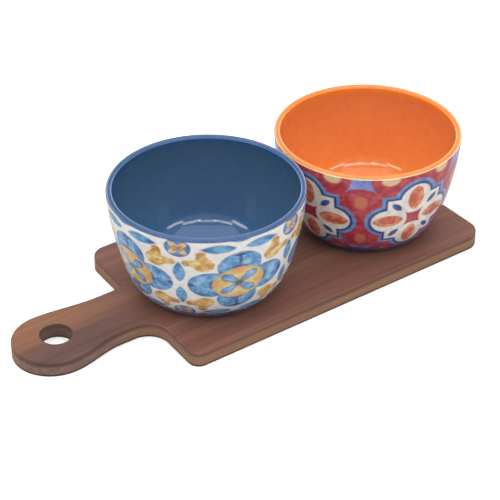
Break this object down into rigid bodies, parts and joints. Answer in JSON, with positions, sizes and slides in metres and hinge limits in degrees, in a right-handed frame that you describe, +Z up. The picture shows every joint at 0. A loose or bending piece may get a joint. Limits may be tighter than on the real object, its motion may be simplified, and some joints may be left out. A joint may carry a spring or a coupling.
{
  "type": "chip and dip server",
  "caption": "Wooden paddle board with a pierced handle, carrying loose round glazed dip bowls that stand side by side and lift off.",
  "frame": {"origin": "underside of the board, halfway along its whole length and on its centre line", "axes": "+X from the handle towards the square end, +Z up through the board, the bowls stand on its top"},
  "size_m": [0.3121, 0.1308, 0.0783],
  "materials": {
    "oiled_wood": "oiled satin",
    "blue_glaze": "gloss",
    "orange_glaze": "gloss"
  },
  "bodies": {
    "board": {"board": "oiled_wood"},
    "blue_bowl": {"blue_bowl": "blue_glaze"},
    "orange_bowl": {"orange_bowl": "orange_glaze"}
  },
  "joints": [
    {"name": "blue_bowl_lift", "type": "slide", "parent": "board", "child": "blue_bowl", "axis": [0, 0, 1], "range_m": [0, 0.12]},
    {"name": "orange_bowl_lift", "type": "slide", "parent": "board", "child": "orange_bowl", "axis": [0, 0, 1], "range_m": [0, 0.12]}
  ]
}
